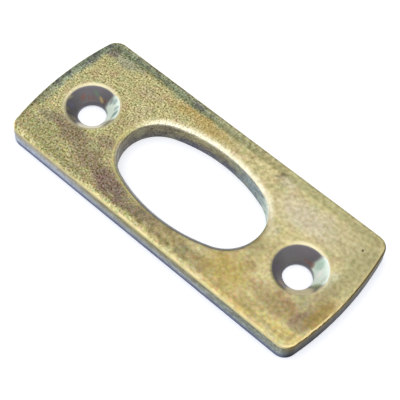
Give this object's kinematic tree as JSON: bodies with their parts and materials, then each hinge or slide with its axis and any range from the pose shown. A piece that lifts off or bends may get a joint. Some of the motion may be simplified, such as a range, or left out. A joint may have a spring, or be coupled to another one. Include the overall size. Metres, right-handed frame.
{
  "type": "door strike plate",
  "caption": "Flat steel strike plate with an oval opening for a bolt, countersunk screw holes, bowed ends and rolled edges.",
  "frame": {"origin": "middle of the plate's outline, on its back face", "axes": "+X along the plate, +Y across it, +Z out of the face that shows, away from the door frame"},
  "size_m": [0.05, 0.0206, 0.003],
  "materials": {
    "yellow_passivated_steel": "zinc plated and yellow passivated, satin, stained and handled"
  },
  "bodies": {
    "root": {"strike_plate": "yellow_passivated_steel"}
  },
  "joints": []
}
